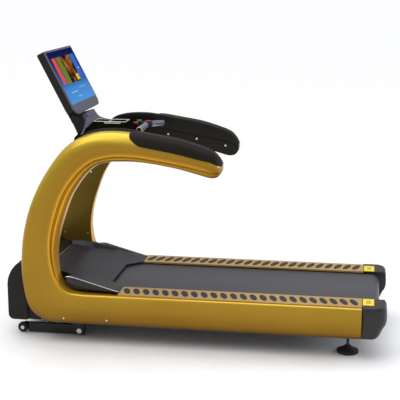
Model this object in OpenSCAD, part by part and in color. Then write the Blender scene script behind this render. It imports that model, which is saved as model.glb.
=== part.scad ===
// Commercial treadmill with C-shaped side frames, a flat running deck and a tilting display.
// +X points to the rear of the machine, +Y to the far side, +Z up; the floor is Z = 0.

/* [Deck] */
// Height of the foot rails above the floor
rail_top = 300; // [290:1:310]
// Thickness of a foot rail plate
rail_t = 10; // [8:1:12]
// Half the clear width between the foot rails
rail_in = 267; // [262:1:268]
// Half the width over the foot rails
rail_out = 421; // [415:1:422]
// Front end of the foot rails
rail_x0 = -402; // [-410:1:-398]
// Rear end of the foot rails
rail_x1 = 946; // [940:1:950]
// Studs on each foot rail
stud_count = 24; // [8:1:24]
// Pitch of the studs
stud_pitch = 55; // [45:1:55]
// Length of a stud across the rail
stud_len = 104; // [70:1:110]
// Width of a stud
stud_w = 36; // [20:1:38]
// Slant of the studs, outer end towards the rear
stud_slant = 18; // [0:1:25]
// Half width of the running belt
belt_half = 272; // [260:1:272]
// Thickness of the running belt
belt_t = 2.5; // [2:0.1:3]
// Radius of both rollers
roller_r = 42; // [38:1:42]

/* [Side frames] */
// Inner face of the side frames
side_in = 340; // [340:1:341]
// Wall of the frame shells
shell_t = 5; // [3:0.5:5]
// Extra thickness of the arm pads over the arms
pad_t = 8; // [5:1:9]

/* [Display] */
// Half the width of the display
disp_half = 257; // [200:1:280]
// Height of the display along its face
disp_h = 372; // [300:1:400]
// Depth of the display
disp_d = 49; // [40:1:55]
// Lean of the display back from upright
disp_lean = 27.2; // [15:0.1:35]

/* [Wheels and feet] */
// Radius of the front wheels
wheel_r = 30; // [28:1:31]
// Radius of a rear foot
foot_r = 60; // [40:1:60]

/* [Hidden] */
$fn = 48;
e = 0.01;

// Frame curve stations along the side frame, from the rail's rear end to the arm's tip: outer edge
// x and z, crease x and z, reach of the rim past the crease, depth of the pocket, share of the width.
STATIONS = [
  [946, 109, 946, 296, -12, 1, 1], [500, 109, 500, 296, -12, 1, 1],
  [0, 109, 0, 296, -12, 1, 1], [-350, 109, -350, 296, -12, 1, 1],
  [-560, 109, -500, 295, -10, 1, 1], [-700, 110, -610, 296, -6, 1, 1],
  [-822, 118, -688, 308, 0, 1, 1], [-921, 190, -742, 360, 6, 1, 1],
  [-958, 350, -770, 450, 18, 1, 1], [-959, 490, -778, 545, 28, 1, 1],
  [-943, 625, -768, 645, 36, 1, 1], [-907, 762, -740, 750, 40, 1, 1],
  [-848, 897, -702, 850, 40, 1, 1], [-770, 1022, -650, 934, 38, 1, 1],
  [-694, 1113, -590, 1002, 34, 1, 1], [-618, 1168, -530, 1047, 30, 1, 1],
  [-525, 1202, -462, 1069, 30, 1, 1], [-423, 1214, -390, 1080, 34, 1, 1],
  [-310, 1212, -290, 1078, 31, 1, 1], [-190, 1196, -180, 1065, 29, 1, 1],
  [-50, 1172, -50, 1044, 31, 1, 1], [65, 1134, 57, 1023, 37, 1, 1],
  [125, 1105, 120, 1008, 38, 0.4, 0.98], [160, 1072, 158, 1000, 22, 0.05, 0.86],
  [179, 1044, 178, 1012, 6, 0.02, 0.5]];
STEPS = 3;
PAD_FIRST = 17.85;
PAD_LAST = 24;
PAD_STEPS = 22;
COVER_FIRST = 15;
COVER_LAST = 24;
COVER_THICK = 22.8;

// Display frame: origin in the middle of the face, a chin's height above its bottom edge.
DISP_AT = [-664, 0, 1297];
DISP_CHIN = 18;
TILT_AT = [-62, 30];

// Rollers, motor and lift.
ROLL_Z = rail_top - 15 - belt_t - roller_r;
ROLL_F = -560;
ROLL_R = 996;
SHAFT_R = 10;
FIT = 0.06;
MOTOR_X = -780;
MOTOR_Z = 225;
PULLEY_Y0 = 283;
PULLEY_Y1 = 301;
PULLEY_ROLL = 50;
PULLEY_MOTOR = 25;
PIVOT = [-660, 32];
WHEEL_X = -1005;
BAR_X = -860;
BAR_Z = 35;
LIFT_Z = 310;
LIFT_Y = -150;
FRONT_X = -1082;
PANEL_X = -1062;
FOOT_X = 875;
FOOT_Y = 311;

// ---------- helpers ----------

// Catmull-Rom value between b and c.
function spline(a, b, c, d, t) =
  0.5 * (2 * b + (c - a) * t + (2 * a - 5 * b + 4 * c - d) * t * t + (3 * b - a - 3 * c + d) * t * t * t);

function pick(list, i) = list[max(0, min(len(list) - 1, i))];

// Station values at a real-valued place s along a list of stations.
function at(list, s) =
  let (i = min(floor(s), len(list) - 2))
  spline(pick(list, i - 1), pick(list, i), pick(list, i + 1), pick(list, i + 2), s - i);

// Point of a section: u runs from the outer edge past the crease, v is the distance from the middle.
function place(st, u, v) =
  let (o = [st[0], st[1]], k = [st[2], st[3]], w = norm(k - o), d = (k - o) / w, p = o + d * u)
  [p[0], side_in + (v - side_in) * st[6], p[1]];

function width(st) = norm([st[2] - st[0], st[3] - st[1]]);

// Distance of the outer face beyond the inner one at a depth u.
function bulge(st, u) =
  let (w = width(st), q = min(1, w / 110))
  lookup(u, [[0, 25], [2, 60], [14 * q, 85], [40 * q, 100], [0.45 * w, 108]]);

// Closed U-shaped section of a frame shell, with a groove along the crease.
function shell_ring(st) =
  let (w = width(st), l = st[4], t = shell_t, n = side_in, q = min(1, w / 110), g = 3 * min(1, max(0, l) / 20),
       dp = min(1, st[5]), dep = function (v) n + (v - n) * dp)
  [place(st, 6, n), place(st, 0, n + 25), place(st, 2, n + 60), place(st, 14 * q, n + 85),
   place(st, 40 * q, n + 100), place(st, 0.45 * w, n + 108), place(st, 0.8 * w, n + 106),
   place(st, w - 6, n + 101), place(st, w, n + 93 - g), place(st, w + 0.2 * l, n + 90 + g),
   place(st, w + 0.6 * l, n + 80 + g), place(st, w + l, n + 50), place(st, w + l, n + 12),
   place(st, w + l - 2, n), place(st, w + l - 2 - t, n), place(st, w + l - t, dep(n + 12)),
   place(st, w + l - t, dep(n + 48)), place(st, w + 0.6 * l - t, dep(n + 74)),
   place(st, max(0.84 * w, w - 6 - t), dep(n + 88 - g)), place(st, 0.8 * w, dep(n + 101)),
   place(st, 0.45 * w, dep(n + 103)), place(st, 42 * q, dep(n + 94)),
   place(st, max(7 + t - 6 * dp, (14 + t) * q), dep(n + 80)),
   place(st, 6 + t - 4 * dp, dep(n + 58)), place(st, 6 + t - 6 * dp, dep(n + 25)), place(st, 6 + t, n)];

// Closed section of an arm pad; the skirt grows from its front end and narrows towards the tip.
function pad_ring(st, s) =
  let (w = width(st), f = min(1, w / 110), n = side_in,
       k = min(1, max(0.12, (s - PAD_FIRST) * 1.9)), r = min(1, max(0.25, (s - PAD_FIRST) * 3)),
       t = 1 + (pad_t - 1) * r, c = 12 * f, d = max(c + 3, (12 + 46 * k) * f * (1 - 0.13 * max(0, s - 20))),
       m = c + 0.55 * (d - c), vc = bulge(st, c) + 4.2, vm = bulge(st, m) + 3.2, vd = bulge(st, d) + 2.8)
  [place(st, -1.6, n + 3), place(st, -1.6 - t, n + 3), place(st, -2 - t, n + 28),
   place(st, -1.2 - 0.85 * t, n + 62 + 0.1 * t), place(st, c - 0.55 * t, n + vc + 0.65 * t),
   place(st, m - 0.35 * t, n + vm + 0.75 * t), place(st, d - 0.1 * t, n + vd + 0.78 * t),
   place(st, d, n + vd), place(st, m, n + vm), place(st, c, n + vc),
   place(st, -1.2, n + 62), place(st, -2, n + 28)];

// Solid through a list of equal rings; side walls and both ends.
module sweep(rings) {
  m = len(rings[0]);
  n = len(rings);
  polyhedron(
    points = [for (r = rings) for (p = r) p],
    faces = concat(
      [[for (j = [0:m - 1]) j]],
      [[for (j = [m - 1:-1:0]) (n - 1) * m + j]],
      [for (i = [0:n - 2]) for (j = [0:m - 1])
        each [[i * m + j, (i + 1) * m + (j + 1) % m, i * m + (j + 1) % m],
              [i * m + j, (i + 1) * m + j, (i + 1) * m + (j + 1) % m]]]));
}

// Parts are drawn on the far (right) side and mirrored for the near (left) one.
module on_left() {
  mirror([0, 1, 0]) children();
}

module both() {
  children();
  on_left() children();
}

// Extrudes an x-z outline from y0 to y1.
module slab_y(outline, y0, y1) {
  translate([0, y1, 0]) rotate([90, 0, 0]) linear_extrude(y1 - y0) polygon(outline);
}

// Box between two corners.
module block(a, b) {
  translate(a) cube(b - a);
}

// Open tube of wall t between two corners; along gives the axis it runs along.
module tube(a, b, t, along) {
  open = [for (i = [0:2]) i == along ? 1 : -t];
  difference() {
    block(a, b);
    block(a - open, b + open);
  }
}

// Cylinder along Y at x, z from y0 to y1.
module rod_y(x, z, r, y0, y1) {
  translate([x, y0, z]) rotate([-90, 0, 0]) cylinder(r = r, h = y1 - y0);
}

// Places the children in the display's own frame: x out of the face, z up the face.
module display_frame() {
  translate(DISP_AT) rotate([0, -disp_lean, 0]) children();
}

// Rounded rectangle in y-z with its own radii at the bottom and the top, from x0 to x1.
module plate_x(half, z0, z1, rb, rt, x0, x1) {
  translate([x0, 0, 0]) rotate([90, 0, 90]) linear_extrude(x1 - x0) union() {
    translate([-half, z0 + rb]) square([2 * half, z1 - z0 - rb - rt]);
    translate([-half + rb, z0]) square([2 * (half - rb), rb + e]);
    translate([-half + rt, z1 - rt - e]) square([2 * (half - rt), rt + e]);
    for (s = [-1, 1]) {
      translate([s * (half - rb), z0 + rb]) circle(rb);
      translate([s * (half - rt), z1 - rt]) circle(rt);
    }
  }
}

// Outline between two offsets from the frame's outer edge, from station s0 to s1.
function frame_band(u0, u1, s0, s1, n) =
  concat(
    [for (i = [0:n]) let (p = place(at(STATIONS, s0 + (s1 - s0) * i / n), u0, 0)) [p[0], p[2]]],
    [for (i = [n:-1:0]) let (st = at(STATIONS, s0 + (s1 - s0) * i / n),
       p = place(st, u1 < 0 ? width(st) + st[4] + u1 : u1, 0)) [p[0], p[2]]]);

// Point of the frame's x-z outline at a depth u below its outer edge.
function band_point(s, u) = let (p = place(at(STATIONS, s), u, 0)) [p[0], p[2]];

// Top edge of an arm cover, raised above the frame, and lower edge of its thick part.
function cover_top(s) = -2 - 10 * min(1, (s - COVER_FIRST) * 1.8) + 4 * max(0, s - 23);
function cover_step(s) = 80 * (1 - 0.17 * max(0, s - 20));
function cover_foot(s) = let (st = at(STATIONS, s)) width(st) + st[4] - 1;

// ---------- chassis ----------

module chassis() {
  wall = 3;
  color([0.12, 0.12, 0.12]) {
    difference() {
      union() {
        both() {
          tube([-480, 288, 180], [1030, 336, 280], wall, 0);
          tube([-870, 306, 180], [-480 + e, 336, 280], wall, 0);
          tube([-1000, 300, 180], [-870 + e, 329, 280], wall, 0);
          // Mounting pads for the uprights.
          block([-560, 336 - e, 175], [-470, 350, 245]);
          block([-440, 336 - e, 170], [-360, 350, 215]);
          // Ears of the incline arm's pivots.
          block([-698, 292, 12], [-632, 304, 180 + e]);
          block([-698, 304 - e, 150], [-632, 336, 180 + e]);
          // Foot brackets.
          block([FOOT_X - 32, 289, 125], [FOOT_X + 32, 334, 180 + e]);
          translate([FOOT_X, FOOT_Y, 180]) cylinder(r = 13, h = 60);
          // Supports of the foot rail and its stand-offs.
          for (x = [-390, -60, 270, 600, 900]) block([x, 296, 280 - e], [x + 30, 336, rail_top - rail_t]);
        }
        // Deck cross members inside the belt loop.
        for (x = [-420, -20, 380, 780]) tube([x, -288 - e, 205], [x + 40, 288 + e, 240], wall, 1);
        // Lower cross members.
        tube([-640, -306 - e, 130], [-600, 306 + e, 185], wall, 1);
        tube([-1000, -300 - e, 150], [-960, 300 + e, 200], wall, 1);
        tube([860, -289 - e, 130], [900, 289 + e, 172], wall, 1);
        // Motor tray and the lift bracket on it.
        block([-960 - e, -306, 150], [-640 + e, 306, 156]);
        block([-892, LIFT_Y - 34, 156 - e], [-828, LIFT_Y - 26, 330]);
        block([-892, LIFT_Y + 26, 156 - e], [-828, LIFT_Y + 34, 330]);
      }
      for (x = [ROLL_F, ROLL_R]) rod_y(x, ROLL_Z, SHAFT_R + FIT, -340, 340);
      rod_y(PIVOT[0], PIVOT[1], 10, -310, 310);
      rod_y(BAR_X, LIFT_Z, 8, LIFT_Y - 40, LIFT_Y + 40);
      both() translate([FOOT_X, FOOT_Y, 120]) cylinder(r = 8 + FIT, h = 130);
      // Window in the tray for the lift.
      block([BAR_X - 50, LIFT_Y - 25, 145], [BAR_X + 55, LIFT_Y + 25, 160]);
    }
  }
}

// Steel tube inside a side frame, from the rail up the C and along the arm.
module upright() {
  color([0.2, 0.2, 0.2]) difference() {
    slab_y(frame_band(42, 100, 3, 20.6, 60), 350, 395);
    slab_y(frame_band(45, 97, 2.9, 20.7, 60), 353, 392);
  }
}

module upright_left() {
  on_left() upright();
}

module upright_right() {
  upright();
}

// ---------- side frames ----------

module shell() {
  n = (len(STATIONS) - 1) * STEPS;
  color([0.84, 0.66, 0.13]) sweep([for (i = [0:n]) shell_ring(at(STATIONS, i / STEPS))]);
}

module shell_left() {
  on_left() shell();
}

module shell_right() {
  shell();
}

// Flat inner panel that closes the C of a side frame.
module panel() {
  color([0.72, 0.55, 0.1]) slab_y(frame_band(4, -1, 6.6, 14.9, 40), side_in - 4, side_in - 0.2);
}

module panel_left() {
  on_left() panel();
}

module panel_right() {
  panel();
}

// Outline of an arm cover from its top edge down to a lower edge, up to station last.
function cover_band(low, last, n) =
  let (step = (last - COVER_FIRST) / n)
  concat([for (i = [0:n]) let (s = COVER_FIRST + i * step) band_point(s, cover_top(s))],
    [for (i = [n:-1:0]) let (s = COVER_FIRST + i * step) band_point(s, low(s))]);

// Black inner cover of an arm: a thin plate with a thicker upper part above the crease.
module arm_cover() {
  color([0.1, 0.09, 0.08]) {
    slab_y(cover_band(function (s) cover_foot(s), COVER_LAST, 40), side_in - 12, side_in - 0.2);
    slab_y(cover_band(function (s) cover_step(s), COVER_THICK, 34), side_in - 20, side_in - 12 + e);
  }
}

module arm_cover_left() {
  on_left() arm_cover();
}

module arm_cover_right() {
  arm_cover();
}

module arm_pad() {
  color([0.09, 0.08, 0.08])
    sweep([for (i = [0:PAD_STEPS])
      let (s = PAD_FIRST + (PAD_LAST - PAD_FIRST) * i / PAD_STEPS) pad_ring(at(STATIONS, s), s)]);
}

module arm_pad_left() {
  on_left() arm_pad();
}

module arm_pad_right() {
  arm_pad();
}

// Button-head screws of the panels and arm covers.
module frame_screws() {
  color("silver") both() {
    for (p = [[-745, 843], [-921, 450], [-776, 450]])
      rod_y(p[0], p[1], 6, side_in - 7, side_in - 4);
    for (p = [[-253, 1093], [-78, 1069], [98, 1032]])
      rod_y(p[0], p[1], 6, side_in - 15, side_in - 12);
    for (x = [-709, -460]) rod_y(x, 153, 5, side_in + 102.4, side_in + 104.4);
  }
}

// ---------- foot rails ----------

module foot_rail() {
  color([0.84, 0.68, 0.38]) block([rail_x0, rail_in, rail_top - rail_t], [rail_x1, rail_out, rail_top]);
}

module foot_rail_left() {
  on_left() foot_rail();
}

module foot_rail_right() {
  foot_rail();
}

// Long oval stud, bevelled round its top.
module stud() {
  points = 24;
  oval = [for (i = [0:points - 1]) [stud_w / 2 * cos(360 * i / points), stud_len / 2 * sin(360 * i / points)]];
  rotate([0, 0, -stud_slant]) {
    linear_extrude(1.2) polygon(oval);
    translate([0, 0, 1.2 - e]) linear_extrude(0.8, scale = 0.94) polygon(oval);
  }
}

module rail_studs() {
  color([0.23, 0.23, 0.24]) both() for (i = [0:stud_count - 1])
    translate([-364 + i * stud_pitch, (rail_in + rail_out) / 2, rail_top]) stud();
}

// Moulded rear end cap of a side rail, hollow towards the front.
module end_cap() {
  outer = [[rail_x1, 124], [1025, 124], [1041, 131], [1052, 152], [1064, 178], [1079, 202],
    [1082, 235], [1079, 285], [1072, 297], [1060, rail_top], [rail_x1, rail_top]];
  inner = [[rail_x1 - 1, 129], [1024, 129], [1036, 135], [1047, 156], [1059, 180], [1074, 205],
    [1077, 235], [1074, 282], [1066, 292], [1058, rail_top - 5], [rail_x1 - 1, rail_top - 5]];
  color([0.17, 0.15, 0.14]) {
    difference() {
      union() {
        slab_y(outer, 280, 418);
        slab_y([for (p = outer) [min(p[0], 1052), p[1]]], 418 - e, 441);
        translate([1052, 418, 0]) intersection() {
          translate([0, 0, 124]) cylinder(r = 22, h = 176);
          block([0, 0, 131], [30, 30, 296]);
        }
      }
      slab_y(inner, 284, 413);
      slab_y([for (p = inner) [min(p[0], 1047), p[1]]], 413 - e, 436);
      rod_y(ROLL_R, ROLL_Z, SHAFT_R + 3, 279, 285);
    }
    block([rail_x1, rail_in, rail_top - rail_t], [1070, 280 + e, rail_top]);
  }
}

module end_cap_left() {
  on_left() end_cap();
}

module end_cap_right() {
  end_cap();
}

module rail_labels() {
  color([0.95, 0.85, 0.05]) both() block([950, 274, rail_top], [1010, 388, rail_top + 0.8]);
}

// ---------- deck and drive ----------

module deck() {
  color([0.25, 0.22, 0.2]) block([-505, -284, 258], [940, 284, rail_top - 15 - belt_t - 0.3]);
}

module deck_cushions() {
  color([0.1, 0.1, 0.1]) both() for (x = [-400, 0, 400, 800])
    translate([x, 240, 240]) cylinder(r = 16, h = 18);
}

// Loop of belt around two wheels of the same radius.
module running_belt() {
  inner_r = roller_r + 0.25;
  outer_r = roller_r + belt_t;
  color([0.22, 0.22, 0.23]) translate([0, belt_half, 0]) rotate([90, 0, 0]) linear_extrude(2 * belt_half)
    difference() {
      union() {
        for (x = [ROLL_F, ROLL_R]) translate([x, ROLL_Z]) circle(outer_r, $fn = 96);
        translate([ROLL_F, ROLL_Z - outer_r]) square([ROLL_R - ROLL_F, 2 * outer_r]);
      }
      for (x = [ROLL_F, ROLL_R]) translate([x, ROLL_Z]) circle(inner_r, $fn = 96);
      translate([ROLL_F, ROLL_Z - inner_r]) square([ROLL_R - ROLL_F, 2 * inner_r]);
    }
}

module roller(x) {
  rod_y(x, ROLL_Z, roller_r, -278, 278);
  rod_y(x, ROLL_Z, SHAFT_R, -332, 332);
}

module front_roller() {
  color("silver") {
    roller(ROLL_F);
    rod_y(ROLL_F, ROLL_Z, PULLEY_ROLL, PULLEY_Y0, PULLEY_Y1);
  }
}

module rear_roller() {
  color("silver") roller(ROLL_R);
}

// Ribbed belt from the motor pulley to the roller pulley.
module drive_belt() {
  gap = 0.3;
  thick = 3;
  color([0.08, 0.08, 0.08]) translate([0, PULLEY_Y1 - 2, 0]) rotate([90, 0, 0])
    linear_extrude(PULLEY_Y1 - PULLEY_Y0 - 4) difference() {
      hull() {
        translate([ROLL_F, ROLL_Z]) circle(PULLEY_ROLL + gap + thick);
        translate([MOTOR_X, MOTOR_Z]) circle(PULLEY_MOTOR + gap + thick);
      }
      hull() {
        translate([ROLL_F, ROLL_Z]) circle(PULLEY_ROLL + gap);
        translate([MOTOR_X, MOTOR_Z]) circle(PULLEY_MOTOR + gap);
      }
    }
}

module motor() {
  color([0.3, 0.32, 0.34]) difference() {
    union() {
      rod_y(MOTOR_X, MOTOR_Z, 66, -60, 190);
      block([MOTOR_X - 60, -40, 156], [MOTOR_X + 60, 170, 190]);
      block([MOTOR_X - 85, -30, 156], [MOTOR_X + 85, -10, 166]);
      block([MOTOR_X - 85, 140, 156], [MOTOR_X + 85, 160, 166]);
    }
    rod_y(MOTOR_X, MOTOR_Z, SHAFT_R + FIT, -61, 191);
  }
}

module motor_rotor() {
  color([0.5, 0.5, 0.52]) {
    rod_y(MOTOR_X, MOTOR_Z, SHAFT_R, -70, PULLEY_Y1);
    rod_y(MOTOR_X, MOTOR_Z, 62, 205, 245);
    rod_y(MOTOR_X, MOTOR_Z, PULLEY_MOTOR, PULLEY_Y0, PULLEY_Y1);
  }
}

module controller() {
  color([0.35, 0.4, 0.36]) {
    block([-950, 60, 156], [-870, 280, 240]);
    for (i = [0:9]) block([-944 + i * 8, 62, 240 - e], [-941 + i * 8, 278, 262]);
  }
}

module power_panel() {
  color([0.2, 0.2, 0.22]) translate([PANEL_X, 0, 0]) difference() {
    union() {
      block([0, 130, 128], [4, 290, 196]);
      block([-4, 160, 145], [e, 214, 179]);
      block([4 - e, 165, 150], [34, 209, 174]);
    }
    block([-10, 168, 152], [28, 206, 172]);
    block([-10, 239, 147], [10, 273, 177]);
  }
}

// Rocker of the mains switch.
module power_switch() {
  color([0.7, 0.1, 0.08]) translate([PANEL_X, 0, 0]) {
    slab_y([[-4, 151], [1, 162], [0, 173], [6, 173], [6, 151]], 241, 271);
    // Pivot pin inside the cut-out.
    rod_y(6, 162, 3, 239.3, 272.7);
  }
}

// ---------- hood ----------

HOOD_MID = [[-869, 387], [-780, 369], [-690, 345], [-590, 319], [-490, rail_top]];
HOOD_EDGE = [[-872, 402], [-790, 403], [-712, 392], [-620, 366], [-505, 334], [rail_x0 - 0.5, 305]];

function lowered(list, d) = [for (i = [len(list) - 1:-1:0]) [list[i][0], list[i][1] - d]];

// Plan outline of the hood's middle, with its slanted rear corners.
HOOD_PLAN = [[-869, -303], [-869, 303], [-480, 303], [rail_x0 - 0.5, 262], [-490, 178],
  [-490, -178], [rail_x0 - 0.5, -262], [-480, -303]];

module hood_top() {
  color([0.24, 0.23, 0.25]) {
    intersection() {
      slab_y(concat(HOOD_MID, [[rail_x0, 297], [rail_x0, 291], [-490, 291]],
        lowered([for (i = [0:3]) HOOD_MID[i]], 5)), -304, 304);
      translate([0, 0, 250]) linear_extrude(200) polygon(HOOD_PLAN);
    }
    both() difference() {
      union() {
        slab_y(concat([for (p = HOOD_EDGE) p - [0, 3]], [[rail_x0 - 0.5, 300.5], [-872, 300.5]]),
          300, side_in - 5);
        slab_y(concat([for (i = [2:5]) HOOD_EDGE[i] - [0, 3]], [[rail_x0 - 0.5, 300.5], [-668, 309], [-706, 337]]),
          side_in - 5 - e, 386);
      }
      slab_y([[-864, 290], [-864, 390], [-790, 391], [-715, 380], [-620, 356], [-505, 324], [-440, 290]],
        304, side_in - 9);
      slab_y([[-701, 338], [-700, 377], [-620, 356], [-505, 324], [-450, 305], [-664, 313]], side_in - 9 - e, 382);
    }
  }
}

// Pale trim along the outer upper edges of the hood and its front seam.
module hood_trim() {
  color([0.6, 0.6, 0.56]) {
    both() {
      slab_y(concat([for (i = [2:5]) HOOD_EDGE[i]], lowered([for (i = [2:5]) HOOD_EDGE[i]], 2.9)), 380, 387);
    }
    translate([-874, -290, 388]) cube([4.5, 580, 4]);
  }
}

// Rounded cover ahead of the side frames.
module hood_front() {
  outer = [[-875, 393], [-930, 410], [-955, 426], [-975, 440], [-1010, 428], [-1042, 390], [-1065, 335],
    [-1080, 270], [FRONT_X, 209], [-1072, 138], [-1060, 108], [-1042, 97], [-880, 97]];
  inner = [[-874, 388], [-928, 405], [-953, 421], [-973, 435], [-1007, 424], [-1038, 387], [-1060, 333],
    [-1075, 269], [FRONT_X + 5, 210], [-1067, 139], [-1056, 111], [-1040, 102], [-874, 102]];
  color([0.14, 0.13, 0.13]) difference() {
    union() {
      slab_y(outer, -302, 302);
      both() {
        slab_y([for (p = outer) [max(p[0], FRONT_X + 14), p[1]]], 302 - e, side_in - 5);
        slab_y([for (p = outer) [min(-963, max(p[0], FRONT_X + 14)), p[1]]], side_in - 5 - e, side_in + 6);
      }
    }
    slab_y(inner, -297, 297);
    both() slab_y([for (p = inner) [max(p[0], FRONT_X + 19), p[1]]], 297 - e, side_in - 9);
    // Cut-out of the power panel.
    block([FRONT_X - 8, 134, 132], [FRONT_X + 30, 286, 192]);
    // Clear of the lift and the wheels' arms.
    block([-970, -304, 90], [-870, 304, 110]);
    both() translate([-1008, side_in + 7, 172]) rotate([90, 0, 0]) cylinder(r = 4, h = 3);
  }
}

// ---------- incline and wheels ----------

module incline_arm() {
  color([0.11, 0.1, 0.1]) difference() {
    union() {
      both() {
        slab_y([[-968, 9], [-640, 6], [-634, 12], [-634, 56], [-640, 62], [-960, 62], [-968, 54]], 268, 290);
        slab_y([[-1022, 22], [-1012, 12], [-940, 12], [-940, 58], [-1000, 58], [-1022, 42]], 258, 267);
        block([-968, 267 - e, 12], [-940, 268 + e, 58]);
      }
      rod_y(BAR_X, BAR_Z, 18, -270, 270);
    }
    rod_y(PIVOT[0], PIVOT[1], 10 + FIT, -292, 292);
    both() rod_y(WHEEL_X, wheel_r, 8, 255, 268);
  }
}

// Pivot bolts of the incline arm, with heads on the outside.
module arm_pins() {
  color("silver") both() {
    rod_y(PIVOT[0], PIVOT[1], 10, 266, 304 + e);
    rod_y(PIVOT[0], PIVOT[1], 15, 304, 311);
  }
}

module wheel() {
  color([0.12, 0.12, 0.12]) difference() {
    union() {
      rod_y(WHEEL_X, wheel_r, wheel_r - 2, 269, 290);
      rod_y(WHEEL_X, wheel_r, wheel_r, 271, 288);
    }
    rod_y(WHEEL_X, wheel_r, 8 + FIT, 268, 291);
  }
}

module wheel_left() {
  on_left() wheel();
}

module wheel_right() {
  wheel();
}

module wheel_pins() {
  color("silver") both() {
    rod_y(WHEEL_X, wheel_r, 8, 258, 291);
    rod_y(WHEEL_X, wheel_r, 11, 291 - e, 296);
  }
}

module lift_body() {
  color([0.55, 0.56, 0.58]) difference() {
    union() {
      translate([BAR_X, LIFT_Y, 165]) cylinder(r = 20, h = 120);
      block([BAR_X - 16, LIFT_Y - 25, 270], [BAR_X + 16, LIFT_Y + 25, 326]);
      translate([BAR_X + 46, LIFT_Y, 200]) cylinder(r = 24, h = 98);
      block([BAR_X, LIFT_Y - 18, 270], [BAR_X + 50, LIFT_Y + 18, 296]);
    }
    translate([BAR_X, LIFT_Y, 160]) cylinder(r = 11 + FIT, h = 136);
    rod_y(BAR_X, LIFT_Z, 8 + FIT, LIFT_Y - 30, LIFT_Y + 30);
  }
}

module lift_rod() {
  color("silver") {
    translate([BAR_X, LIFT_Y, 60]) cylinder(r = 11, h = 234);
    translate([BAR_X, LIFT_Y, 54]) cylinder(r = 22, h = 8);
  }
}

module lift_pin() {
  color("silver") rod_y(BAR_X, LIFT_Z, 8, LIFT_Y - 34, LIFT_Y + 34);
}

module foot() {
  color([0.1, 0.1, 0.1]) translate([FOOT_X, FOOT_Y, 0]) {
    cylinder(r = foot_r - 3, h = 2 + e);
    translate([0, 0, 2]) cylinder(r = foot_r, h = 16);
    translate([0, 0, 18 - e]) cylinder(r1 = foot_r, r2 = 20, h = 22);
    cylinder(r = 8, h = 190);
  }
}

module foot_left() {
  on_left() foot();
}

module foot_right() {
  foot();
}

module foot_nuts() {
  color([0.16, 0.12, 0.1]) both() translate([FOOT_X, FOOT_Y, 112]) difference() {
    union() {
      cylinder(r = 15, h = 10 + e, $fn = 6);
      translate([0, 0, 10]) cylinder(r = 18, h = 3);
    }
    translate([0, 0, -1]) cylinder(r = 8 + FIT, h = 20);
  }
}

// ---------- console and mast ----------

TRAY = [[-612, -45], [-433, 45]];
TRAY_SPLIT = -526;
BUTTON_X = -368;
BUTTON_Y = 45;

// Console top and its hollow, half profile across the machine: y and z.
CROWN = [[60, 1213], [110, 1205], [200, 1188], [319.5, 1168]];
HOLLOW = [[60, 1168], [200, 1160], [340, 1146]];

// Solid along X under a half profile and its mirror image.
module crowned(half, low, x0, x1) {
  last = len(half) - 1;
  translate([x0, 0, 0]) rotate([90, 0, 90]) linear_extrude(x1 - x0)
    polygon(concat(half, [[half[last][0], low], [-half[last][0], low]],
      [for (i = [last:-1:0]) [-half[i][0], half[i][1]]]));
}

module console() {
  side = [[-668, 1118], [-654, 1160], [-641, 1185], [-634, 1189.6], [-620.2, 1196.8], [-619.4, 1211],
    [-600, 1213], [-400, 1213], [-362, 1209], [-342, 1192], [-338, 1168], [-358, 1138],
    [-400, 1118], [-600, 1104], [-650, 1104]];
  color([0.07, 0.07, 0.07]) difference() {
    intersection() {
      slab_y(side, -CROWN[3][0], CROWN[3][0]);
      crowned(CROWN, 1090, -700, -300);
    }
    block([TRAY[0][0], TRAY[0][1], 1176], [TRAY[1][0], TRAY[1][1], 1230]);
    // Hollow underside, open at both ends.
    intersection() {
      slab_y([[-658, 1120], [-644, 1158], [-634, 1168], [-352, 1168], [-368, 1142], [-403, 1124],
        [-600, 1110], [-646, 1110]], -side_in, side_in);
      crowned(HOLLOW, 1090, -700, -300);
    }
    // Seats of the mast and the buttons.
    block([-730, -105.5, 1090], [-640, 105.5, 1230]);
    for (y = [-BUTTON_Y, BUTTON_Y]) translate([BUTTON_X, y, 1196]) cylinder(r = 15.5, h = 30);
  }
}

// Bright frame round the tray with a bar across it.
module tray_trim() {
  rim = 8;
  color("silver") difference() {
    block([TRAY[0][0] - rim, TRAY[0][1] - rim, 1213.2], [TRAY[1][0] + rim, TRAY[1][1] + rim, 1218]);
    block([TRAY[0][0], TRAY[0][1], 1210], [TRAY_SPLIT - rim / 2, TRAY[1][1], 1220]);
    block([TRAY_SPLIT + rim / 2, TRAY[0][1], 1210], [TRAY[1][0], TRAY[1][1], 1220]);
  }
}

// Bright inlays beside the tray, lying on the sloping top.
module console_bars() {
  slope = atan((CROWN[0][1] - CROWN[1][1]) / (CROWN[1][0] - CROWN[0][0]));
  color("silver") both() translate([0, CROWN[0][0], CROWN[0][1]]) rotate([-slope, 0, 0])
    block([-548, 10, 0.3], [-451, 24, 2.8]);
}

// Lean of the display turned into row directions.
FACE_UP = [-sin(disp_lean), cos(disp_lean)];
FACE_OUT = [cos(disp_lean), sin(disp_lean)];

// Row x-z point of a point x out of and z up the display face.
function face_point(x, z) = [DISP_AT[0], DISP_AT[2]] + FACE_OUT * x + FACE_UP * z;

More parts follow.
